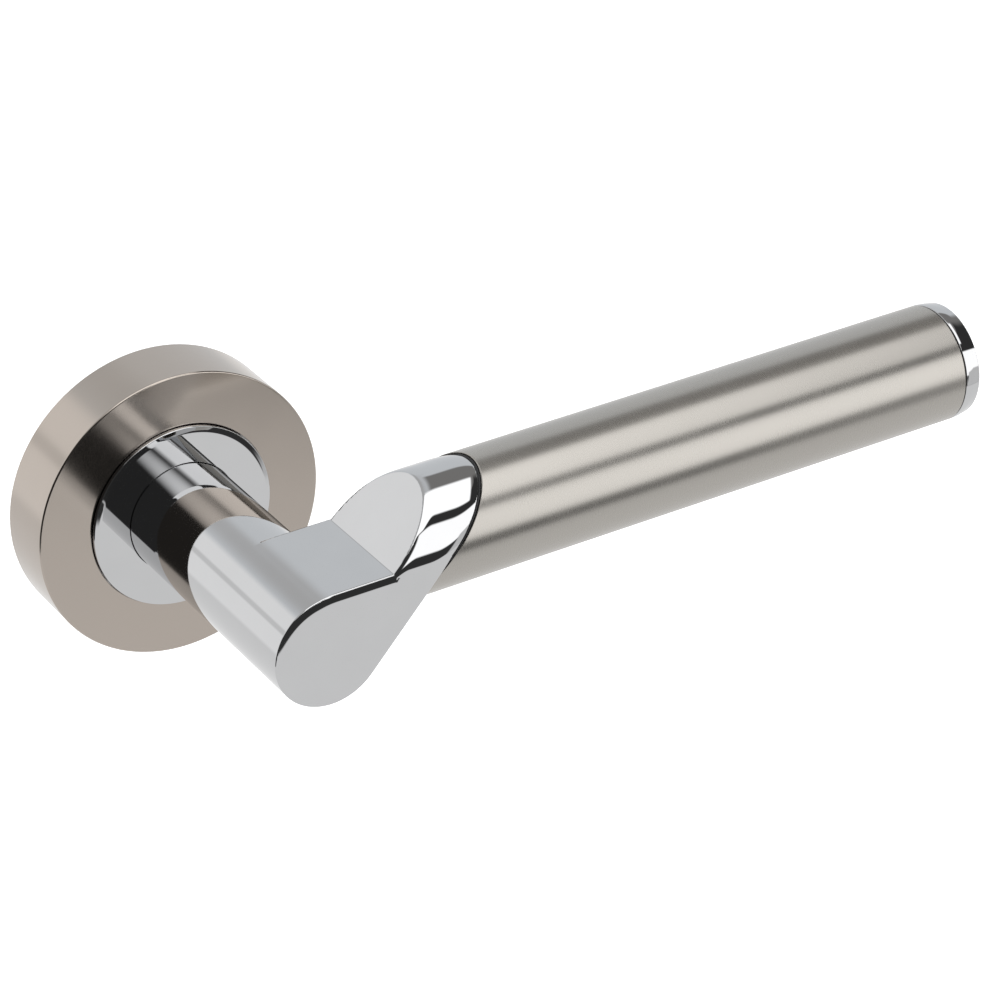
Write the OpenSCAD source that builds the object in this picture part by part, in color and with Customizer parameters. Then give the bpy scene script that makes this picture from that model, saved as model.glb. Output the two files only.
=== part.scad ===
// Lever handle on a round rose, satin nickel and polished chrome.
// +X runs along the grip, +Z is up, and the door's face is the plane y = 0 with the
// handle on its -Y side. The origin is on the spindle's axis, at the door's face.

/* [Rose] */
// Diameter of the round rose
rose_d = 52; // [50:0.5:54]
// Depth of the rose from the door to its satin face
rose_depth = 11.5; // [11:0.1:13]
// Diameter of the polished disc in the rose's face
disc_d = 33; // [32:0.5:35]
// Height of the disc's face above the satin face
disc_rise = 0.9; // [0.6:0.1:1.2]
// Distance between the two fixing lugs
lug_spacing = 38; // [38:0.5:40]
// Length of each fixing lug behind the rose
lug_length = 5; // [3:0.5:8]

/* [Handle] */
// Diameter of the neck that leaves the rose
neck_d = 19.8; // [19.6:0.1:19.8]
// Distance from the door to the flat front of the handle
projection = 62.3; // [58:0.1:68]
// Diameter of the straight grip
grip_d = 20.6; // [20:0.1:21]
// Distance from the spindle's axis to the end cap
grip_reach = 125.3; // [100:0.5:140]
// Thickness of the end cap
cap_t = 3.1; // [2:0.1:4]
// Wall of the grip tube
grip_wall = 1.3; // [1:0.1:1.5]

/* [Elbow] */
// Angle of the underside and of the oblique joint, from the horizontal
joint_angle = 47; // [45:0.5:50]
// Where the slope on the elbow starts to rise
knee_x = 11.9; // [11:0.1:13]
// Angle of that slope, from the horizontal
slope_angle = 45; // [43:0.5:48]
// Height of the flat on top of the elbow above the grip's axis
flat_rise = 0.25; // [0.1:0.05:0.5]

/* [Spindle] */
// Width of the square spindle
spindle_w = 8; // [8]
// Length of spindle behind the door's face
spindle_out = 20; // [15:1:60]

/* [Turning] */
// How far the lever turns down
lever_travel = 45; // [30:1:50]

/* [Hidden] */
$fn = 96;

// Colours
satin_nickel = [0.67, 0.63, 0.59];
chrome = [0.86, 0.87, 0.89];
zinc = [0.62, 0.63, 0.64];
steel = [0.55, 0.56, 0.58];
spring_steel = [0.36, 0.37, 0.39];
nylon = [0.93, 0.92, 0.87];
rubber = [0.07, 0.07, 0.07];

cut = 0.5;                 // how far a cutting solid runs past a face
slip = 0.05;               // clearance of a part that seats in another of the same body

// Rose, from the satin face back to the door
rose_r = rose_d / 2;
cover_wall = 1.1;
cover_edge_r = 0.35;
cover_back = -rose_depth + cover_wall + 0.1;     // inner side of the cover's face
disc_r = disc_d / 2;
disc_gap = 0.12;
disc_face = -rose_depth - disc_rise;
disc_flange_r = disc_r + 1.7;
disc_flange_front = cover_back + slip;
base_front = -rose_depth + 2.4;
disc_back = base_front - slip;
base_r = rose_r - cover_wall - 0.6;

// Rubber ring that grips the cover
ring_section_r = 0.88;
ring_r = rose_r - cover_wall - ring_section_r - 0.07;
ring_y = -3.2;

// Bearing and the neck's journal
neck_r = neck_d / 2;
journal_r = 8;
running = 0.06;
bush_r = 9.2;
bush_flange_r = 9.85;
bush_flange_t = 1.18;
bush_recess_y = base_front + 1.3;
spring_front = base_front + 2.5;                 // front wall of the spring's chamber
shoulder_y = base_front - 0.5;
washer_t = 0.45;

// Spring chamber, drive plate and the plate that closes them in
spring_chamber_r = 12.4;
drive_front = -3;
drive_chamber_r = 13.5;
drive_r = drive_chamber_r - 0.2;
drive_t = 1.55;
plate_recess_y = -1.2;
plate_recess_r = 15.75;
plate_t = 1.1;
plate_hole_r = 8.6;
plate_screw_ring_r = 14.5;
plate_screw_r = 0.73;
plate_screw_head_r = 1.12;
plate_screw_angles = [30, 150, 270];
stop_inner_r = 12;
stop_half_angle = 7;
stop_angles = [90, 270];
stop_clearance = 0.5;                            // degrees

// Double-D end of the neck and its retaining ring
tail_r = 7;
tail_flat = 6;
tail_end = -0.2;
ring_groove_y = [-1.32, -0.48];
ring_groove_r = 6.3;
retainer_r = 8.3;
retainer_gap_angle = 70;

// Return spring
wire_r = 0.5;
coil_r = 11;
coil_turns = 2.25;
coil_pitch = 1.02;
coil_sides = 10;
coil_steps = 20;                                 // rings in one turn
coil_start_angle = 200;
leg_slot_depth = 1.5;
leg_hole_r = wire_r + 0.12;

// Fixing lugs
lug_r = 3.4;
lug_thread_r = 1.65;                             // core of an M4 thread
lug_thread_depth = 7;                            // into the base

// Spindle and its grub screw
spindle_in = 31.5;
spindle_chamfer = 0.5;
socket_w = spindle_w + 0.1;
grub_y = -20;
grub_r = 2.46;
grub_hole_r = 2.5;
grub_length = 5.2;
hex_key = 2.5;

// Grip: its axis is level with the top of the neck and its front lies just behind the flat front
grip_r = grip_d / 2;
sunk = 0.15;                                     // how far a round side lies below a flat one
grip_bore_r = grip_r - grip_wall;
grip_z = neck_r;
front_y = -projection;
grip_y = front_y + sunk + grip_r;
flat_z = grip_z + flat_rise;
spigot_r = grip_bore_r - 0.1;
spigot_end = 48;
gasket_t = 0.2;
gasket_recess = 0.25;
plug_length = 18;
plug_boss_r = 5;
plug_boss_depth = 7.5;
rod_r = 3;
rod_start = 28;
cap_edge_r = 0.9;
margin = 18;                                     // reach of a half plane past the grip's axis

// The oblique joint runs on from the neck's underside, all but tangent to it
underside_r = neck_r - sunk / 4;
joint_slope = 1 / tan(joint_angle);              // change in x for each unit of z
joint_x = (underside_r + grip_z * cos(joint_angle)) / sin(joint_angle);
slope_run = 1 / tan(slope_angle);

// x of the joint's plane at height z
function joint_at(z) = joint_x + joint_slope * (z - grip_z);
// x of the elbow's slope at height z
function slope_at(z) = knee_x + slope_run * (z - flat_z);

// A round bar along Y between two values of y
module along_y(r, y0, y1) {
    translate([0, y0, 0]) rotate([-90, 0, 0]) cylinder(r = r, h = y1 - y0);
}

// A round bar along the grip's axis between two values of x
module along_grip(r, x0, x1) {
    translate([x0, grip_y, grip_z]) rotate([0, 90, 0]) cylinder(r = r, h = x1 - x0);
}

// An outline in X and Z, drawn out along Y
module slab(points, y0, y1) {
    translate([0, y1, 0]) rotate([90, 0, 0]) linear_extrude(y1 - y0) polygon(points);
}

// A profile of radius and depth in front of the door, turned about the spindle's axis
module turned_about_y(points) {
    rotate([90, 0, 0]) rotate_extrude() polygon(points);
}

// A profile of radius and x, turned about the grip's axis
module turned_about_grip(points) {
    translate([0, grip_y, grip_z]) rotate([0, 90, 0]) rotate_extrude() polygon(points);
}

// Points of a quarter circle of radius r round a centre, from angle a to angle a + 90
function quarter(centre, r, a) = [for (i = [0:6]) centre + r * [cos(a + 15 * i), sin(a + 15 * i)]];

// A wedge from the spindle's axis between two angles in the plane of the door
module wedge(a0, a1, y0, y1) {
    far = rose_d;
    middle = (a0 + a1) / 2;
    slab([[0, 0], far * [cos(a0), sin(a0)], far * [cos(middle), sin(middle)],
          far * [cos(a1), sin(a1)]], y0, y1);
}

// Part of a ring between two radii and two angles
module ring_part(r0, r1, a0, a1, y0, y1) {
    intersection() {
        difference() {
            along_y(r1, y0, y1);
            along_y(r0, y0 - cut, y1 + cut);
        }
        wedge(a0, a1, y0 - cut, y1 + cut);
    }
}

// The half space to the right of the oblique joint, moved on by a distance along x
module right_of_joint(shift, x_end) {
    low = grip_z - margin;
    high = grip_z + margin;
    slab([[joint_at(low) + shift, low], [x_end, low], [x_end, high], [joint_at(high) + shift, high]],
         grip_y - margin, grip_y + margin);
}

module rose_cover() {
    corner = [rose_r - cover_edge_r, rose_depth - cover_edge_r];
    color(satin_nickel)
        turned_about_y(concat(
            [[disc_r + disc_gap, -cover_back], [disc_r + disc_gap, rose_depth]],
            [for (i = [6:-1:0]) quarter(corner, cover_edge_r, 0)[i]],
            [[rose_r, 0], [rose_r - cover_wall, 0], [rose_r - cover_wall, -cover_back]]));
}

module rose_trim_disc() {
    bore_r = neck_r + 0.08;
    edge_r = 0.35;
    corner = [disc_r - edge_r, -disc_face - edge_r];
    color(chrome)
        turned_about_y(concat(
            [[bore_r, -disc_back], [bore_r, -disc_face]],
            [for (i = [6:-1:0]) quarter(corner, edge_r, 0)[i]],
            [[disc_r, -disc_flange_front], [disc_flange_r, -disc_flange_front],
             [disc_flange_r, -disc_back]]));
}

module rose_base() {
    color(zinc) {
        difference() {
            union() {
                along_y(base_r, base_front, 0);
                for (side = [-1, 1])
                    translate([side * lug_spacing / 2, 0, 0]) along_y(lug_r, -cut, lug_length);
            }
            along_y(bush_flange_r + 0.1, base_front - cut, bush_recess_y);
            along_y(bush_r + slip, base_front, 0);
            along_y(spring_chamber_r, spring_front, 0);
            along_y(drive_chamber_r, drive_front, 0);
            along_y(plate_recess_r, plate_recess_y, cut);
            for (side = [-1, 1])
                translate([side * lug_spacing / 2, 0, 0])
                    along_y(lug_thread_r, -lug_thread_depth, lug_length + cut);
            for (a = plate_screw_angles)
                translate([plate_screw_ring_r * cos(a), 0, plate_screw_ring_r * sin(a)])
                    along_y(plate_screw_r + 0.02, plate_recess_y - 4.5, 0);
            leg_slot();
            difference() {
                along_y(rose_r, ring_y - ring_section_r - 0.02, ring_y + ring_section_r + 0.02);
                along_y(ring_r - ring_section_r - slip, ring_y - 2, ring_y + 2);
            }
        }
        for (a = stop_angles)
            ring_part(stop_inner_r, drive_chamber_r + 0.2, a - stop_half_angle, a + stop_half_angle,
                      drive_front - 0.2, plate_recess_y);
    }
}

// Arc in the base that the spring's front leg sits in
module leg_slot() {
    ring_part(coil_r - leg_hole_r, coil_r + leg_hole_r, coil_start_angle - lever_travel - 5,
              coil_start_angle + 16, spring_front - leg_slot_depth, spring_front + cut);
}

module cover_o_ring() {
    color(rubber)
        translate([0, ring_y, 0]) rotate([90, 0, 0]) rotate_extrude()
            translate([ring_r, 0]) circle(ring_section_r);
}

module neck_bush() {
    flange_front = -(bush_recess_y - bush_flange_t);
    color(nylon)
        turned_about_y([
            [journal_r + running, -spring_front + slip], [journal_r + running, flange_front],
            [bush_flange_r, flange_front], [bush_flange_r, -bush_recess_y + 0.02],
            [bush_r, -bush_recess_y + 0.02], [bush_r, -spring_front + slip]]);
}

module spring_washer() {
    back = bush_recess_y - bush_flange_t - slip;
    color(spring_steel)
        difference() {
            along_y(bush_flange_r - 0.15, back - washer_t, back);
            along_y(journal_r + 0.1, back - washer_t - cut, back + cut);
        }
}

// Wire of the return spring: a leg into the base, the coil, and a leg into the drive plate
coil_front = spring_front + wire_r + 0.05;
coil_back = coil_front + coil_turns * coil_pitch;
coil_end_angle = coil_start_angle + 360 * coil_turns;
leg_points = 4;
leg_bend = 0.4;                                  // from the coil's last turn to the straight leg
function wire_angle(t) = coil_start_angle + 360 * coil_turns * t;
function wire_point(t) =
    let (a = wire_angle(t))
    [coil_r * cos(a), coil_front + coil_turns * coil_pitch * t, coil_r * sin(a)];
function leg_point(a, y) = [coil_r * cos(a), y, coil_r * sin(a)];
coil_count = coil_turns * coil_steps;
front_leg_end = spring_front - leg_slot_depth + 0.2;
back_leg_end = drive_front + drive_t + 0.05;
wire_path = concat(
    [for (i = [0:leg_points - 1])
        leg_point(coil_start_angle - 2,
                  front_leg_end + (coil_front - leg_bend - front_leg_end) * i / (leg_points - 1))],
    [for (i = [1:coil_count - 1]) wire_point(i / coil_count)],
    [for (i = [0:leg_points - 1])
        leg_point(coil_end_angle + 2,
                  coil_back + leg_bend + (back_leg_end - coil_back - leg_bend) * i / (leg_points - 1))]);
wire_angles = concat(
    [for (i = [1:leg_points]) coil_start_angle - 2],
    [for (i = [1:coil_count - 1]) wire_angle(i / coil_count)],
    [for (i = [1:leg_points]) coil_end_angle + 2]);

function unit(v) = v / norm(v);
function wire_tangent(i) =
    unit(wire_path[min(i + 1, len(wire_path) - 1)] - wire_path[max(i - 1, 0)]);
function wire_ring(i) =
    let (radial = [cos(wire_angles[i]), 0, sin(wire_angles[i])],
         across = unit(cross(wire_tangent(i), radial)),
         outward = cross(across, wire_tangent(i)))
    [for (k = [0:coil_sides - 1])
        let (a = 360 * k / coil_sides)
        wire_path[i] + wire_r * (cos(a) * outward + sin(a) * across)];

module return_spring() {
    count = len(wire_path);
    rings = [for (i = [0:count - 1]) each wire_ring(i)];
    sides = [for (i = [0:count - 2]) for (k = [0:coil_sides - 1])
        let (next = (k + 1) % coil_sides)
        [i * coil_sides + k, i * coil_sides + next, (i + 1) * coil_sides + next,
         (i + 1) * coil_sides + k]];
    ends = [[for (k = [coil_sides - 1:-1:0]) k],
            [for (k = [0:coil_sides - 1]) (count - 1) * coil_sides + k]];
    color(spring_steel) polyhedron(points = rings, faces = concat(sides, ends));
}

// Double-D section of the neck's tail, between two values of y
module tail(r, flat, y0, y1) {
    intersection() {
        along_y(r, y0, y1);
        slab([[-r, -flat], [r, -flat], [r, flat], [-r, flat]], y0 - cut, y1 + cut);
    }
}

module drive_plate() {
    front = drive_front + 0.1;
    back = front + drive_t;
    color(steel)
        difference() {
            along_y(drive_r, front, back);
            tail(tail_r + slip, tail_flat + slip, front - cut, back + cut);
            for (a = stop_angles)
                ring_part(stop_inner_r - 0.3, drive_chamber_r, a - stop_half_angle - stop_clearance,
                          a + stop_half_angle + stop_clearance + lever_travel, front - cut, back + cut);
            translate(leg_point(coil_end_angle + 2, 0)) along_y(leg_hole_r, front - cut, back + cut);
        }
}

module spring_plate() {
    color(steel)
        difference() {
            along_y(plate_recess_r - slip, plate_recess_y + slip, plate_recess_y + slip + plate_t);
            along_y(plate_hole_r, plate_recess_y - cut, cut);
            for (a = plate_screw_angles)
                translate([plate_screw_ring_r * cos(a), 0, plate_screw_ring_r * sin(a)])
                    plate_screw_shape(0.04, plate_recess_y - cut);
        }
}

// A countersunk screw with its head level with the plate, larger all round by extra
module plate_screw_shape(extra, tip) {
    head_y = plate_recess_y + slip + plate_t;
    head_depth = plate_screw_head_r - plate_screw_r;
    along_y(plate_screw_r + extra, tip, head_y - head_depth);
    translate([0, head_y - head_depth, 0]) rotate([-90, 0, 0])
        cylinder(r1 = plate_screw_r + extra, r2 = plate_screw_head_r + extra, h = head_depth);
}

module spring_plate_screws() {
    slot_w = 0.35;
    slot_depth = 0.3;
    head_y = plate_recess_y + slip + plate_t;
    color(steel)
        for (a = plate_screw_angles)
            translate([plate_screw_ring_r * cos(a), 0, plate_screw_ring_r * sin(a)])
                difference() {
                    plate_screw_shape(0, plate_recess_y - 4);
                    translate([-2, head_y - slot_depth, -slot_w / 2]) cube([4, cut, slot_w]);
                }
}

module retaining_ring() {
    color(spring_steel)
        difference() {
            along_y(retainer_r, ring_groove_y[0] + 0.04, ring_groove_y[1] - 0.04);
            along_y(ring_groove_r + slip, ring_groove_y[0] - cut, ring_groove_y[1] + cut);
            wedge(270 - retainer_gap_angle / 2, 270 + retainer_gap_angle / 2,
                  ring_groove_y[0] - cut, ring_groove_y[1] + cut);
        }
}

module spindle() {
    h = spindle_w / 2;
    c = h - spindle_chamfer;
    color(steel)
        slab([[-c, -h], [c, -h], [h, -c], [h, c], [c, h], [-c, h], [-h, c], [-h, -c]],
             -spindle_in, spindle_out);
}

module grub_screw() {
    top = -spindle_w / 2 - 0.03;
    color(spring_steel)
        translate([0, grub_y, top - grub_length])
            difference() {
                cylinder(r = grub_r, h = grub_length);
                translate([0, 0, -cut])
                    cylinder(d = hex_key / cos(30), h = hex_key + cut, $fn = 6);
            }
}

// Outline of the elbow's prism: along the neck's underside to the joint, and back over the
// flat top, which runs down to the neck's upper left
function elbow_outline() =
    let (fall = acos(neck_r / flat_z))
    [[0, 0],
     underside_r * [sin(joint_angle), -cos(joint_angle)],
     [knee_x + margin, underside_r * -cos(joint_angle)],
     [knee_x + margin, flat_z],
     [0, flat_z],
     underside_r * [-sin(fall), cos(fall)]];

module elbow() {
    high = grip_z + margin;
    color(chrome)
        difference() {
            union() {
                along_y(neck_r, front_y, shoulder_y);
                along_y(journal_r, shoulder_y - cut, drive_front + 0.1);
                tail(tail_r, tail_flat, drive_front, tail_end);
                difference() {
                    union() {
                        slab(elbow_outline(), front_y, grip_y + grip_r + sunk);
                        intersection() {
                            along_grip(grip_r, knee_x - 2, spigot_end);
                            slab([[knee_x, 0], [spigot_end, 0], [spigot_end, high],
                                  [slope_at(high), high], [slope_at(flat_z), flat_z]],
                                 front_y - cut, grip_y + margin);
                        }
                    }
                    right_of_joint(0, spigot_end + cut);
                }
                intersection() {
                    along_grip(spigot_r, knee_x, spigot_end);
                    slab([[knee_x, grip_z - margin], [spigot_end + cut, grip_z - margin],
                          [spigot_end + cut, high], [slope_at(high) + 1, high],
                          [knee_x + 1, flat_z]], front_y, grip_y + margin);
                }
            }
            translate([-socket_w / 2, -spindle_in - cut, -socket_w / 2])
                cube([socket_w, spindle_in + 2 * cut, socket_w]);
            translate([0, grub_y, -neck_r - cut]) cylinder(r = grub_hole_r, h = neck_r);
            difference() {
                along_y(tail_r + 1, ring_groove_y[0], ring_groove_y[1]);
                along_y(ring_groove_r, ring_groove_y[0] - cut, ring_groove_y[1] + cut);
            }
            along_grip(rod_r + 0.02, rod_start - 1, spigot_end + cut);
        }
}

module joint_gasket() {
    step = gasket_t / sin(joint_angle);
    color(rubber)
        difference() {
            intersection() {
                along_grip(grip_r - gasket_recess, 0, spigot_end);
                right_of_joint(0.02, spigot_end);
            }
            right_of_joint(step - 0.02, spigot_end + cut);
            along_grip(spigot_r + slip, -cut, spigot_end + cut);
        }
}

module grip_tube() {
    color(satin_nickel)
        difference() {
            intersection() {
                along_grip(grip_r, 0, grip_reach);
                right_of_joint(gasket_t / sin(joint_angle), grip_reach + cut);
            }
            along_grip(grip_bore_r, -cut, grip_reach + cut);
        }
}

module tie_rod() {
    color(steel)
        along_grip(rod_r, rod_start, grip_reach + gasket_t + 0.5);
}

module tube_plug() {
    color(zinc)
        difference() {
            along_grip(spigot_r, grip_reach - plug_length, grip_reach - slip);
            along_grip(rod_r + 0.05, grip_reach - plug_length - cut, grip_reach);
            along_grip(plug_boss_r + slip, grip_reach - plug_boss_depth, grip_reach + cut);
        }
}

module cap_gasket() {
    color(rubber)
        difference() {
            along_grip(grip_r - gasket_recess, grip_reach + 0.02, grip_reach + gasket_t - 0.02);
            along_grip(plug_boss_r + slip, grip_reach - cut, grip_reach + 1);
        }
}

module end_cap() {
    back = grip_reach + gasket_t;
    front = grip_reach + cap_t + gasket_t;
    boss = grip_reach - plug_boss_depth + 0.1;
    corner = [grip_r - cap_edge_r, front - cap_edge_r];
    color(chrome)
        turned_about_grip(concat(
            [[0, back + 1], [rod_r + 0.02, back + 1], [rod_r + 0.02, boss], [plug_boss_r, boss],
             [plug_boss_r, back], [grip_r, back]],
            quarter(corner, cap_edge_r, 0),
            [[0, front]]));
}

rose_cover();
rose_trim_disc();
rose_base();
cover_o_ring();
neck_bush();
spring_washer();
return_spring();
drive_plate();
spring_plate();
spring_plate_screws();
retaining_ring();
spindle();
grub_screw();
elbow();
joint_gasket();
grip_tube();
tie_rod();
tube_plug();
cap_gasket();
end_cap();
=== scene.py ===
"""Looks of a lever door handle on a round rose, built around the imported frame.

Shapes are worked out in millimetres in the frame's own axes, and turned into metres when a
mesh is made. +X runs along the grip, +Z is up, and the door's face is the plane y = 0.
"""

import math

import bmesh
import bpy
import numpy as np
from mathutils import Matrix, Vector


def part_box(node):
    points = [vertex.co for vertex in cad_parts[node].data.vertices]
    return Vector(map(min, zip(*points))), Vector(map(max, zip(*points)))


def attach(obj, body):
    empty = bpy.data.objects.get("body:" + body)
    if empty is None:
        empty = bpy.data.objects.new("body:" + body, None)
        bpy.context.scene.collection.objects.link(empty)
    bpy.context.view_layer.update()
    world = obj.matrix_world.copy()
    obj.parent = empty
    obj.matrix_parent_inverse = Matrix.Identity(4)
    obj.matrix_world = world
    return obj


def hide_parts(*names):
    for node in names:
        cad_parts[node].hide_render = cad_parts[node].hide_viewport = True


MM = 0.001

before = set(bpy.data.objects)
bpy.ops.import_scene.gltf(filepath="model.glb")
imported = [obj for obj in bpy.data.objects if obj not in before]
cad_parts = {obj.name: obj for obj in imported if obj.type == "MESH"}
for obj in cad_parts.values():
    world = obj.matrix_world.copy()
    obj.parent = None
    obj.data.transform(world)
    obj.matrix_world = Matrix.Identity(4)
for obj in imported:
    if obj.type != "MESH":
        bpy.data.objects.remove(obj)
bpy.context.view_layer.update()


# ---------------------------------------------------------------- sizes taken from the frame

def box_mm(node):
    """Lowest and highest corners of a CAD node, in millimetres."""
    low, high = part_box(node)
    return np.array(low) / MM, np.array(high) / MM


def vertices_mm(node):
    """Vertices of a CAD node, in millimetres."""
    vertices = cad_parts[node].data.vertices
    return np.array([v.co for v in vertices]) / MM


def about_spindle(node):
    """Depth y of each vertex of a CAD node, and its distance from the spindle's axis."""
    x, y, z = vertices_mm(node).T
    return y, np.hypot(x, z)


CLEAR = 0.1     # steps off a shared face, so that its own vertices are left out

cover_low, cover_high = box_mm("rose_cover")
cover_radii = about_spindle("rose_cover")[1]
ROSE_R = cover_high[0]
ROSE_FACE = cover_low[1]
COVER_BORE_R = cover_radii.min()

disc_low, disc_high = box_mm("rose_trim_disc")
disc_depths, disc_radii = about_spindle("rose_trim_disc")
DISC_FACE = disc_low[1]
DISC_BACK = disc_high[1]
DISC_FLANGE_R = disc_high[0]
DISC_R = disc_radii[disc_depths < ROSE_FACE - CLEAR].max()
DISC_BORE_R = disc_radii.min()

tube_low, tube_high = box_mm("grip_tube")
GRIP_R = (tube_high[2] - tube_low[2]) / 2
GRIP_Y = (tube_high[1] + tube_low[1]) / 2
GRIP_Z = (tube_high[2] + tube_low[2]) / 2
TUBE_END = tube_high[0]
NECK_R = -box_mm("elbow")[0][0]

cap_low, cap_high = box_mm("end_cap")
CAP_BOSS_START = cap_low[0]
CAP_START = box_mm("cap_gasket")[1][0]
CAP_END = cap_high[0]
cap_points = vertices_mm("end_cap")
cap_boss = cap_points[cap_points[:, 0] < CAP_START - CLEAR]
cap_boss_radii = np.hypot(cap_boss[:, 1] - GRIP_Y, cap_boss[:, 2] - GRIP_Z)
CAP_BOSS_R = cap_boss_radii.max()
CAP_BORE_R = cap_boss_radii.min()

# The elbow's planes, in millimetres and radians. A "roll" is how near an edge a face starts to
# lean away, a "tilt" is how far it leans at the edge, and an "edge" is the radius that breaks it.
JOINT_ANGLE = math.radians(47)          # the underside and the oblique joint, from the horizontal
SLOPE_ANGLE = math.radians(45)          # the slope between the flat top and the grip
KNEE_X = 11.9                           # where the flat top ends and the slope starts to rise
TOP_Z = GRIP_Z + 0.25                   # the flat top, a little above the grip's axis
TOP_FALL = 1                            # past the knee, it falls to the grip's axis within this
TOP_LEAN = math.acos(NECK_R / TOP_Z)    # the short rise from the neck to the flat top
TOP_EASE = 0.3                          # how gently that rise turns into the flat top
FACE_Y = GRIP_Y - GRIP_R                # the flat front touches the front of the grip
FRONT_ROLL = 1.75                       # the flat front, near its outline
FRONT_TILT = math.radians(10)
FRONT_EDGE = 0.13
BLOCK_BACK = GRIP_Y + GRIP_R + 0.1      # back of the flat-fronted block
BLOCK_EDGE = 0.2
SLOPE_ROLL = 1.8                        # the grip's round, near the slope
SLOPE_TILT = math.radians(15)
SLOPE_EDGE = 0.15
JOINT_ROLL = 3.5                        # the grip's round, near the joint
JOINT_TILT = math.radians(16)
JOINT_EDGE = 0.18
JOINT_DROP_Z = (6, 10)                  # between these heights the front takes on that lean too


# ---------------------------------------------------------------- meshes

def new_object(name, points, faces, normals=None):
    """An object from points in millimetres, smooth, with its own normals where they're given."""
    mesh = bpy.data.meshes.new(name)
    mesh.from_pydata((np.asarray(points) * MM).tolist(), [], faces)
    mesh.update()
    mesh.shade_smooth()
    if normals is not None:
        mesh.normals_split_custom_set_from_vertices(normals)
    piece = bpy.data.objects.new(name, mesh)
    bpy.context.scene.collection.objects.link(piece)
    return piece


def rounded_profile(corners, arc_steps=5):
    """Points and outward normals round a closed profile of (along, out, corner radius) corners.

    The corners run anticlockwise with "along" to the right and "out" upwards. A corner on the
    axis, at out 0, stays sharp and faces along it."""
    sharpest = 0.02
    points = []
    normals = []
    count = len(corners)
    places = [np.array(c[:2], float) for c in corners]
    for i, corner in enumerate(corners):
        if corner[1] == 0:
            leaving_axis = corners[i - 1][1] == 0
            points.append(places[i])
            normals.append(np.array([1.0 if leaving_axis else -1.0, 0.0]))
            continue
        here = places[i]
        into = here - places[i - 1]
        leave = places[(i + 1) % count] - here
        into = into / np.linalg.norm(into)
        leave = leave / np.linalg.norm(leave)
        normal_in = np.array([into[1], -into[0]])
        normal_out = np.array([leave[1], -leave[0]])
        turn = math.atan2(into[0] * leave[1] - into[1] * leave[0], into @ leave)
        radius = max(corner[2], sharpest)
        setback = radius * math.tan(abs(turn) / 2)
        start = here - into * setback
        side = 1 if turn > 0 else -1
        centre = start - side * normal_in * radius
        first = math.atan2(normal_in[1], normal_in[0])
        for k in range(arc_steps + 1):
            angle = first + turn * k / arc_steps
            normal = np.array([math.cos(angle), math.sin(angle)])
            points.append(centre + side * normal * radius)
            normals.append(normal)
        normals[-1] = normal_out
    return np.array(points), np.array(normals)


ROUND_STEPS = 256       # points round a full circle

# Each axis: a place on it, its direction, and two directions square to it
ABOUT_SPINDLE = np.array([[0, 0, 0], [0, 1, 0], [1, 0, 0], [0, 0, 1]], float)
ABOUT_GRIP = np.array([[0, GRIP_Y, GRIP_Z], [1, 0, 0], [0, 0, 1], [0, 1, 0]], float)


def turned(name, points, normals, axis):
    """A closed profile of (along, out) turned about an axis, closed to one point on the axis."""
    steps = ROUND_STEPS
    on_axis = 1e-6
    origin, along, first, second = axis
    angles = np.linspace(0, 2 * math.pi, steps, endpoint=False)
    out = np.cos(angles)[:, None] * first + np.sin(angles)[:, None] * second
    count = len(points)
    place = origin + points[:, 0, None, None] * along + points[:, 1, None, None] * out
    facing = normals[:, 0, None, None] * along + normals[:, 1, None, None] * out
    at_centre = points[:, 1] < on_axis
    faces = []
    for i in range(count):
        j = (i + 1) % count
        for k in range(steps):
            following = (k + 1) % steps
            a = i * steps + (0 if at_centre[i] else k)
            b = i * steps + (0 if at_centre[i] else following)
            c = j * steps + (0 if at_centre[j] else following)
            d = j * steps + (0 if at_centre[j] else k)
            corners = tuple(dict.fromkeys((a, b, c, d)))
            if len(corners) > 2:
                faces.append(corners)
    return new_object(name, place.reshape(-1, 3), faces, facing.reshape(-1, 3))


# ---------------------------------------------------------------- rose

COVER_WALL = 1.1


def make_rose_cover():
    """A shallow cup, open towards the door, with a round hole in its face."""
    face_edge = 0.3
    foot_edge = 0.15
    hole_edge = 0.12
    inner_edge = 0.1
    points, normals = rounded_profile([
        (ROSE_FACE + COVER_WALL, ROSE_R - COVER_WALL, face_edge),
        (ROSE_FACE + COVER_WALL, COVER_BORE_R, inner_edge),
        (ROSE_FACE, COVER_BORE_R, hole_edge),
        (ROSE_FACE, ROSE_R, face_edge),
        (0, ROSE_R, foot_edge),
        (0, ROSE_R - COVER_WALL, inner_edge),
    ])
    return turned("satin_rose_cover", points, normals, ABOUT_SPINDLE)


def make_trim_disc():
    """A ring whose face falls off a little near its rim, with a flange behind the cover's face."""
    face_drop = 0.09
    drop_width = 0.9
    bend_radius = 5
    rim_edge = 0.15
    bore_edge = 0.08
    flange_edge = 0.1
    flange_corner = 0.05
    flange_y = ROSE_FACE + COVER_WALL
    points, normals = rounded_profile([
        (DISC_FACE, DISC_BORE_R, bore_edge),
        (DISC_FACE, DISC_R - drop_width, bend_radius),
        (DISC_FACE + face_drop, DISC_R, rim_edge),
        (flange_y, DISC_R, flange_corner),
        (flange_y, DISC_FLANGE_R, flange_edge),
        (DISC_BACK, DISC_FLANGE_R, flange_edge),
        (DISC_BACK, DISC_BORE_R, flange_edge),
    ])
    return turned("polished_trim_disc", points, normals, ABOUT_SPINDLE)


# ---------------------------------------------------------------- elbow

def beyond_joint(x, z):
    """How far a point lies past the plane of the underside and the oblique joint."""
    return x * math.sin(JOINT_ANGLE) - z * math.cos(JOINT_ANGLE) - NECK_R


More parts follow.
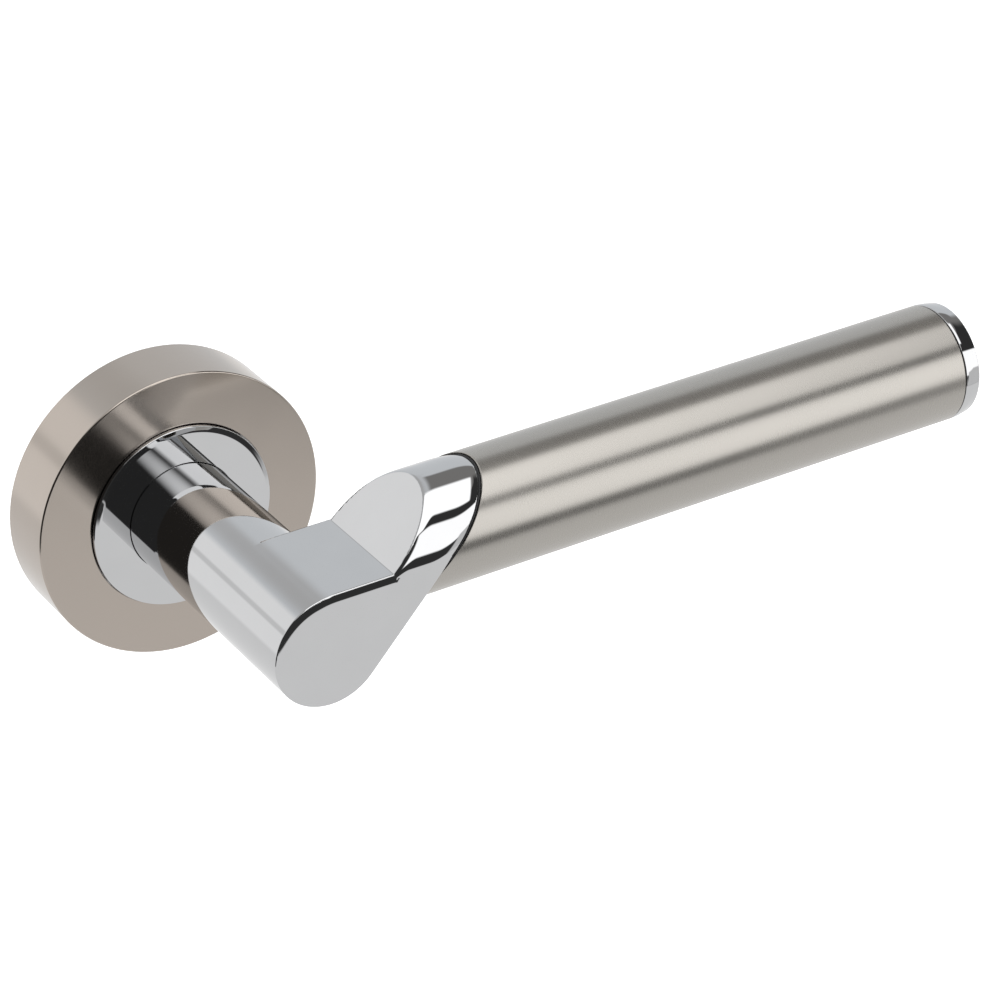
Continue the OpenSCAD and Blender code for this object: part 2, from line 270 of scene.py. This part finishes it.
def joint_x(z):
    """Where that plane lies at height z."""
    return (NECK_R + z * math.cos(JOINT_ANGLE)) / math.sin(JOINT_ANGLE)


def round_max(a, b, radius):
    """Distance to what is inside both a and b, its edge rounded off."""
    corner = np.hypot(np.maximum(a + radius, 0), np.maximum(b + radius, 0))
    return np.minimum(np.maximum(a, b), -radius) + corner


def soft_max(a, b, reach):
    """The larger of a and b, easing from one to the other where they differ by less than reach."""
    ease = np.maximum(reach - np.abs(a - b), 0) / reach
    return np.maximum(a, b) + ease ** 2 * reach / 4


def rolled(distance, width, tilt, power=2):
    """How far a surface has dropped, where it leans back up to tilt within width of an edge.

    A higher power starts the lean more gently."""
    furthest = 1.3      # the lean goes on this far, in widths, past the edge itself
    near_edge = np.clip(1 + distance / width, 0, furthest)
    return width * math.tan(tilt) / power * near_edge ** power


def elbow_distance(points):
    """Signed distance in millimetres to the outside of the elbow, negative inside it.

    The neck is round about the spindle. The block in front of it has a flat front, and the
    bridge carries the grip's round from the slope to the joint."""
    x, y, z = points.T
    neck = np.hypot(x, z) - NECK_R
    under = beyond_joint(x, z)
    rise = z * math.cos(TOP_LEAN) - x * math.sin(TOP_LEAN) - NECK_R
    # underside and rise are tangent to the neck, and hold from where they touch it
    ahead = x * math.cos(JOINT_ANGLE) + z * math.sin(JOINT_ANGLE)
    right_of_rise = x * math.cos(TOP_LEAN) + z * math.sin(TOP_LEAN) > 0
    top = TOP_Z - (TOP_Z - GRIP_Z) * np.clip((x - KNEE_X) / TOP_FALL, 0, 1)
    wedge = np.maximum(soft_max(rise, z - top, TOP_EASE), under)
    outline = np.where(right_of_rise & (ahead > 0), wedge, neck)
    slope = (z - TOP_Z) * math.cos(SLOPE_ANGLE) - (x - KNEE_X) * math.sin(SLOPE_ANGLE)
    head = np.maximum(np.maximum(slope, under), -ahead)
    silhouette = np.minimum(outline, head)

    joint_drop = rolled(under, JOINT_ROLL, JOINT_TILT, power=3)
    low, high = JOINT_DROP_Z
    beside_grip = np.clip((z - low) / (high - low), 0, 1)
    face_drop = np.maximum(rolled(silhouette, FRONT_ROLL, FRONT_TILT), joint_drop * beside_grip)
    face = FACE_Y - y + face_drop
    block = round_max(outline, y - BLOCK_BACK, BLOCK_EDGE)
    body = round_max(np.minimum(neck, block), face, FRONT_EDGE)

    grip_drop = joint_drop + rolled(slope, SLOPE_ROLL, SLOPE_TILT, power=3)
    grip = np.hypot(y - GRIP_Y, z - GRIP_Z) - GRIP_R + grip_drop
    bridge = round_max(grip, slope, SLOPE_EDGE)
    bridge = round_max(bridge, under, JOINT_EDGE)
    return np.minimum(body, bridge)


def gradient(points, step=0.01):
    """Direction in which elbow_distance grows, as unit vectors."""
    shortest = 1e-9
    result = np.empty_like(points)
    for axis in range(3):
        shift = np.zeros(3)
        shift[axis] = step
        result[:, axis] = elbow_distance(points + shift) - elbow_distance(points - shift)
    return result / np.maximum(np.linalg.norm(result, axis=1, keepdims=True), shortest)


def remeshed(node, voxel):
    """The CAD node's solid as an even mesh of small quads: points in mm, faces and normals."""
    weld = 0.002
    source = bmesh.new()
    source.from_mesh(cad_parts[node].data)
    bmesh.ops.scale(source, vec=(1 / MM, 1 / MM, 1 / MM), verts=source.verts)
    bmesh.ops.remove_doubles(source, verts=source.verts, dist=weld)
    mesh = bpy.data.meshes.new(node + "_even")
    source.to_mesh(mesh)
    source.free()
    piece = bpy.data.objects.new(node + "_even", mesh)
    bpy.context.scene.collection.objects.link(piece)
    modifier = piece.modifiers.new("even", "REMESH")
    modifier.mode = "VOXEL"
    modifier.voxel_size = voxel
    modifier.adaptivity = 0
    bpy.context.view_layer.update()
    even = piece.evaluated_get(bpy.context.evaluated_depsgraph_get()).to_mesh()
    points = np.empty(len(even.vertices) * 3)
    even.vertices.foreach_get("co", points)
    faces = [tuple(polygon.vertices) for polygon in even.polygons]
    normals = np.empty(len(even.vertices) * 3)
    even.vertex_normals.foreach_get("vector", normals)
    bpy.data.objects.remove(piece)
    bpy.data.meshes.remove(mesh)
    return points.reshape(-1, 3), faces, normals.reshape(-1, 3)


def make_elbow():
    """The CAD elbow with its outside drawn onto the smooth surface, and its bores as they are."""
    voxel = 0.27
    grub_hole_r = 2.5
    skin_reach = 1.0        # points this near the outside are drawn onto it
    joint_reach = 0.15      # the joint's own face stays as it is
    passes = 5
    largest_move = 0.4      # in one pass
    points, faces, normals = remeshed("elbow", voxel)
    x, y, z = points.T
    grub_low, grub_high = box_mm("grub_screw")
    grub_y = (grub_low[1] + grub_high[1]) / 2
    in_grub_hole = (np.hypot(x, y - grub_y) < grub_hole_r + voxel) & (z < 0)
    near_skin = np.abs(elbow_distance(points)) < skin_reach
    in_sight = (y < DISC_BACK) & (beyond_joint(x, z) < joint_reach)
    outside = near_skin & in_sight & ~in_grub_hole
    skin = points[outside]
    for _ in range(passes):
        move = elbow_distance(skin)[:, None] * gradient(skin)
        skin = skin - np.clip(move, -largest_move, largest_move)
    points[outside] = skin
    normals[outside] = gradient(skin)
    return new_object("polished_elbow", points, faces, normals)


# ---------------------------------------------------------------- grip

def make_grip_tube():
    """The tube, cut to the oblique joint at one end and square at the other, with broken edges."""
    steps = ROUND_STEPS
    lengthwise = 60
    arc_points = 5
    edge = 0.15
    wall = 1.3
    bore = GRIP_R - wall
    corners = vertices_mm("grip_tube")
    gap = np.min(corners[:, 0] - joint_x(corners[:, 2]))
    angles = np.linspace(0, 2 * math.pi, steps, endpoint=False)
    rows = []
    normals = []

    def row(radius, shift, share, lean):
        """A ring of points, share of the way along, moved on by shift, its normal leaning by lean."""
        z = GRIP_Z + radius * np.sin(angles)
        left = joint_x(z) + gap
        x = left + (TUBE_END - left) * share + shift
        y = GRIP_Y - radius * np.cos(angles)
        rows.append(np.stack([x, y, z], axis=1))
        out = np.stack([np.zeros(steps), -np.cos(angles), np.sin(angles)], axis=1)
        along = np.array([1.0, 0.0, 0.0])
        normals.append(math.cos(lean) * out + math.sin(lean) * along)

    quarter_turn = math.pi / 2
    arc = np.linspace(0, quarter_turn, arc_points)
    for a in arc:
        row(GRIP_R - edge + edge * math.sin(a), edge - edge * math.cos(a), 0, a - quarter_turn)
    for i in range(1, lengthwise):
        row(GRIP_R, 0, i / lengthwise, 0)
    for a in arc:
        row(GRIP_R - edge + edge * math.cos(a), -edge + edge * math.sin(a), 1, a)
    row(bore, 0, 1, quarter_turn)
    row(bore, 0, 1, math.pi)
    row(bore, 0, 0, math.pi)
    row(bore, 0, 0, -quarter_turn)
    count = len(rows)
    faces = []
    for i in range(count):
        for k in range(steps):
            a = i * steps + k
            b = i * steps + (k + 1) % steps
            c = (i + 1) % count * steps + (k + 1) % steps
            d = (i + 1) % count * steps + k
            faces.append((d, c, b, a))
    return new_object("satin_grip_tube", np.concatenate(rows), faces, np.concatenate(normals))


def make_end_cap():
    """A cap whose side tapers slightly, on a hollow boss that goes inside the tube."""
    bore_end = CAP_START + 1
    side_bend = CAP_START + 1
    bend_radius = 8
    taper = 0.35
    end_edge = 0.3
    start_edge = 0.12
    boss_edge = 0.1
    corner = 0.05
    points, normals = rounded_profile([
        (CAP_END, 0, 0),
        (CAP_END, GRIP_R - taper, end_edge),
        (side_bend, GRIP_R, bend_radius),
        (CAP_START, GRIP_R, start_edge),
        (CAP_START, CAP_BOSS_R, corner),
        (CAP_BOSS_START, CAP_BOSS_R, boss_edge),
        (CAP_BOSS_START, CAP_BORE_R, corner),
        (bore_end, CAP_BORE_R, corner),
        (bore_end, 0, 0),
    ])
    return turned("polished_end_cap", points, normals, ABOUT_GRIP)


# ---------------------------------------------------------------- materials

class Graph:
    """Short names for the nodes of a tree that work on numbers."""

    def __init__(self, tree):
        self.tree = tree

    def feed(self, value, socket):
        """Links a socket, or sets it to a plain number or colour."""
        if isinstance(value, bpy.types.NodeSocket):
            self.tree.links.new(value, socket)
        else:
            socket.default_value = value

    def math(self, operation, *values):
        """One arithmetic operation on numbers or sockets."""
        node = self.tree.nodes.new("ShaderNodeMath")
        node.operation = operation
        for value, socket in zip(values, node.inputs):
            self.feed(value, socket)
        return node.outputs[0]

    def product(self, *values):
        """All the values multiplied together."""
        result = values[0]
        for value in values[1:]:
            result = self.math("MULTIPLY", result, value)
        return result

    def spread(self, value, low, high):
        """A value from 0 to 1 spread over low to high."""
        return self.math("MULTIPLY_ADD", value, high - low, low)

    def step(self, value, low, high):
        """0 at low, 1 at high, and a smooth change between them, whichever is the larger."""
        node = self.tree.nodes.new("ShaderNodeMapRange")
        node.interpolation_type = "SMOOTHSTEP"
        self.feed(value, node.inputs["Value"])
        node.inputs["From Min"].default_value = low
        node.inputs["From Max"].default_value = high
        return node.outputs[0]

    def band(self, value, low, high, soft):
        """1 between low and high, with soft edges."""
        rise = self.step(value, low - soft / 2, low + soft / 2)
        fall = self.step(value, high - soft / 2, high + soft / 2)
        return self.math("SUBTRACT", rise, fall)

    def mix(self, amount, first, second):
        """The first colour where amount is 0, and the second where it is 1."""
        node = self.tree.nodes.new("ShaderNodeMix")
        node.data_type = "RGBA"
        self.feed(amount, node.inputs["Factor"])
        self.feed(first, node.inputs["A"])
        self.feed(second, node.inputs["B"])
        return node.outputs["Result"]

    def place(self):
        """The three coordinates of a point in its own object, in metres."""
        coordinates = self.tree.nodes.new("ShaderNodeTexCoord")
        parts = self.tree.nodes.new("ShaderNodeSeparateXYZ")
        self.tree.links.new(coordinates.outputs["Object"], parts.inputs[0])
        return parts.outputs

    def noise(self, vector, detail):
        """Noise over three coordinates, each already divided by the size of its grain."""
        joined = self.tree.nodes.new("ShaderNodeCombineXYZ")
        for value, socket in zip(vector, joined.inputs):
            self.feed(value, socket)
        node = self.tree.nodes.new("ShaderNodeTexNoise")
        node.inputs["Scale"].default_value = 1
        node.inputs["Detail"].default_value = detail
        self.tree.links.new(joined.outputs[0], node.inputs["Vector"])
        return node.outputs[0]

    def bump(self, height, depth):
        """A normal for a surface that rises by depth, in millimetres, as height goes from 0 to 1."""
        node = self.tree.nodes.new("ShaderNodeBump")
        node.inputs["Strength"].default_value = 1
        node.inputs["Distance"].default_value = depth * MM
        self.tree.links.new(height, node.inputs["Height"])
        return node.outputs["Normal"]


def surface(name, colour, metallic, roughness, wear, grain, depth, brushed=""):
    """A material with a grain.

    Roughness wanders by wear; grain is the size of the marks and depth their height, both in
    millimetres. Brushed marks are drawn out along the brushing: "grip" runs them round the
    grip, "rose" in circles about the spindle."""
    long_marks = 30         # length of a brushed mark, in widths
    mark_detail = 3
    patch = 9               # millimetres across a more or a less worn patch
    patch_detail = 2
    patch_share = 0.5       # of the wear; the rest follows the marks
    darkest = 0.94          # of the colour, where it is least worn
    material = bpy.data.materials.new(name)
    material.use_nodes = True
    tree = material.node_tree
    principled = tree.nodes["Principled BSDF"]
    principled.inputs["Metallic"].default_value = metallic
    graph = Graph(tree)
    x, y, z = graph.place()
    across = x
    if brushed == "rose":
        squares = graph.math("ADD", graph.product(x, x), graph.product(z, z))
        across = graph.math("SQRT", squares)
    along = grain * long_marks if brushed else grain
    vector = [graph.math("DIVIDE", across, grain * MM),
              graph.math("DIVIDE", y, along * MM),
              graph.math("DIVIDE", z, along * MM)]
    marks = graph.noise(vector, mark_detail)
    patches = graph.noise([graph.math("DIVIDE", value, patch * MM) for value in (x, y, z)],
                          patch_detail)
    marks_part = graph.product(marks, 1 - patch_share)
    worn = graph.math("MULTIPLY_ADD", patches, patch_share, marks_part)
    shaded = [level * darkest for level in colour]
    tree.links.new(graph.mix(worn, (*shaded, 1), (*colour, 1)), principled.inputs["Base Color"])
    tree.links.new(graph.spread(worn, roughness - wear, roughness + wear),
                   principled.inputs["Roughness"])
    tree.links.new(graph.bump(marks, depth), principled.inputs["Normal"])
    return material


def make_chrome():
    return surface("polished_chrome", (0.565, 0.567, 0.573), metallic=1, roughness=0.03,
                   wear=0.015, grain=4, depth=0.0004)


def make_satin_rose():
    return surface("satin_rose", (0.465, 0.415, 0.37), metallic=1, roughness=0.14,
                   wear=0.03, grain=0.12, depth=0.0001, brushed="rose")


def make_satin_grip():
    return surface("satin_grip", (0.43, 0.41, 0.38), metallic=1, roughness=0.27,
                   wear=0.04, grain=0.12, depth=0.0002, brushed="grip")


def make_rubber():
    return surface("black_rubber", (0.03, 0.03, 0.032), metallic=0, roughness=0.7,
                   wear=0.1, grain=0.4, depth=0.01)


def make_nylon():
    return surface("white_nylon", (0.78, 0.77, 0.72), metallic=0, roughness=0.42,
                   wear=0.08, grain=0.6, depth=0.004)


def make_zinc():
    return surface("zinc_casting", (0.42, 0.43, 0.45), metallic=1, roughness=0.5,
                   wear=0.1, grain=0.5, depth=0.012)


def make_steel():
    return surface("plated_steel", (0.60, 0.60, 0.58), metallic=1, roughness=0.3,
                   wear=0.07, grain=0.7, depth=0.003)


def make_spring_steel():
    return surface("spring_steel", (0.22, 0.22, 0.225), metallic=1, roughness=0.36,
                   wear=0.08, grain=0.3, depth=0.002)


def paint(piece, material):
    """The material for the whole piece."""
    piece.data.materials.clear()
    piece.data.materials.append(material)


# ---------------------------------------------------------------- assembly

chrome = make_chrome()

for make, node, body, material, slot in (
    (make_rose_cover, "rose_cover", "rose", make_satin_rose(), "satin_nickel"),
    (make_trim_disc, "rose_trim_disc", "rose", chrome, "polished_chrome"),
    (make_elbow, "elbow", "lever", chrome, "polished_chrome"),
    (make_grip_tube, "grip_tube", "lever", make_satin_grip(), "satin_nickel"),
    (make_end_cap, "end_cap", "lever", chrome, "polished_chrome"),
):
    piece = make()
    paint(piece, material)
    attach(piece, body)
    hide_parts(node)

for make, nodes in (
    (make_rubber, ("joint_gasket", "cap_gasket", "cover_o_ring")),
    (make_nylon, ("neck_bush",)),
    (make_zinc, ("rose_base", "tube_plug")),
    (make_steel, ("spindle", "drive_plate", "spring_plate", "spring_plate_screws", "tie_rod")),
    (make_spring_steel, ("retaining_ring", "return_spring", "spring_washer", "grub_screw")),
):
    material = make()
    for node in nodes:
        paint(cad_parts[node], material)


# ---------------------------------------------------------------- camera

def make_camera():
    """A long lens from the left and above, as a product photograph has it."""
    azimuth = math.radians(31.687)
    elevation = math.radians(30.611)
    roll = math.radians(-0.709)
    distance = 622.81
    aside = 60.553          # from the frame's origin to the point looked at, as the camera sees it
    above = -4.216
    lens = 132.356
    sensor_width = 36
    shift = (-0.00698, 0.0099)
    nearest, furthest = 0.01, 20        # metres
    forward = np.array([math.sin(azimuth) * math.cos(elevation),
                        math.cos(azimuth) * math.cos(elevation), -math.sin(elevation)])
    right = np.array([math.cos(azimuth), -math.sin(azimuth), 0.0])
    up = np.cross(right, forward)
    tilted_right = right * math.cos(roll) + up * math.sin(roll)
    tilted_up = -right * math.sin(roll) + up * math.cos(roll)
    aim = aside * tilted_right + above * tilted_up
    data = bpy.data.cameras.new("camera")
    data.sensor_width = sensor_width
    data.lens = lens
    data.shift_x, data.shift_y = shift
    data.clip_start = nearest
    data.clip_end = furthest
    camera = bpy.data.objects.new("camera", data)
    turn = Matrix((tilted_right, tilted_up, -forward)).transposed().to_4x4()
    camera.matrix_world = Matrix.Translation(Vector((aim - distance * forward) * MM)) @ turn
    bpy.context.scene.collection.objects.link(camera)
    bpy.context.scene.camera = camera


make_camera()


# ---------------------------------------------------------------- studio

def grey(level, warm=0.0):
    """A grey of that brightness, with a little more red than blue where warm is above 0."""
    return (level * (1 + warm), level, level * (1 - warm), 1)


def make_world():
    """The studio round the handle: softboxes, a dark room in front and a pale backdrop.

    Each light is laid over what is behind it. Angles are in degrees: azimuth is 0 straight in
    front of the door and grows to the right, elevation is measured from the horizon, and pitch
    turns about the grip's axis, from 0 straight in front of the door up to 180 behind it. A
    direction's x runs from -1 on the left to 1 on the right."""
    world = bpy.data.worlds.new("studio")
    bpy.context.scene.world = world
    world.use_nodes = True
    tree = world.node_tree
    graph = Graph(tree)
    direction = tree.nodes.new("ShaderNodeTexCoord")
    parts = tree.nodes.new("ShaderNodeSeparateXYZ")
    tree.links.new(direction.outputs["Generated"], parts.inputs[0])
    x, y, z = parts.outputs
    ahead = graph.product(y, -1.0)
    degrees = 180 / math.pi
    azimuth = graph.product(graph.math("ARCTAN2", x, ahead), degrees)
    elevation = graph.product(graph.math("ARCSINE", z), degrees)
    pitch = graph.product(graph.math("ARCTAN2", z, ahead), degrees)

    floor_light = grey(0.95)
    backdrop = grey(0.86, -0.03)
    colour = graph.mix(graph.step(elevation, -12, -2), floor_light, backdrop)

    # a brighter panel behind and to the left, with a grey seam across it
    seam = graph.band(elevation, low=10, high=16, soft=3)
    seamed_panel = graph.mix(seam, grey(1.15), grey(0.88))
    panel = graph.product(graph.band(azimuth, low=-163, high=-100, soft=8),
                          graph.band(elevation, low=-15, high=33, soft=6))
    colour = graph.mix(panel, colour, seamed_panel)

    # dusk over the backdrop, fading out to the right
    dusk = graph.product(graph.step(elevation, 33, 42), graph.step(x, 0.42, 0.1))
    colour = graph.mix(dusk, colour, grey(0.62))

    # a dark ceiling on the right
    ceiling = graph.product(graph.band(pitch, low=35, high=131, soft=5),
                            graph.step(elevation, 30, 36), graph.step(x, 0.3, 0.4))
    colour = graph.mix(ceiling, colour, grey(0.27, 0.03))

    # the dark room in front
    room = graph.product(graph.band(azimuth, low=-100, high=100, soft=20),
                         graph.band(elevation, low=-28, high=50, soft=1.5))
    colour = graph.mix(room, colour, grey(0.045))

    # a big softbox in front and to the right
    key = graph.product(graph.band(azimuth, low=16, high=100, soft=3),
                        graph.band(pitch, low=-13, high=35, soft=4))
    colour = graph.mix(key, colour, grey(1.8))

    # a pale screen below that softbox
    screen = graph.product(graph.band(azimuth, low=36.5, high=100, soft=3),
                           graph.step(pitch, -6, -10), graph.step(elevation, -30, -27))
    colour = graph.mix(screen, colour, grey(0.8))

    # a softbox overhead, its front edge further up on the right
    edge_shift = -13.0
    front_edge = graph.math("MULTIPLY_ADD", graph.step(x, 0.28, 0.43), edge_shift, pitch)
    overhead = graph.product(graph.step(front_edge, 36, 40), graph.step(pitch, 101, 95),
                             graph.band(x, low=-0.28, high=0.585, soft=0.04))
    colour = graph.mix(overhead, colour, grey(1.9))
    tree.links.new(colour, tree.nodes["Background"].inputs["Color"])


def make_floor():
    """A plain pale floor, well below the handle."""
    floor_z = -150
    half = 4000
    glow = 0.6
    corners = [(-half, -half, floor_z), (half, -half, floor_z),
               (half, half, floor_z), (-half, half, floor_z)]
    floor = new_object("floor", corners, [(0, 1, 2, 3)])
    material = surface("floor", (0.9, 0.9, 0.9), metallic=0, roughness=0.9,
                       wear=0.02, grain=40, depth=0.05)
    principled = material.node_tree.nodes["Principled BSDF"]
    principled.inputs["Emission Color"].default_value = (1, 1, 1, 1)
    principled.inputs["Emission Strength"].default_value = glow
    paint(floor, material)
    floor.visible_glossy = False


make_world()
make_floor()
bpy.context.scene.view_settings.view_transform = "Standard"
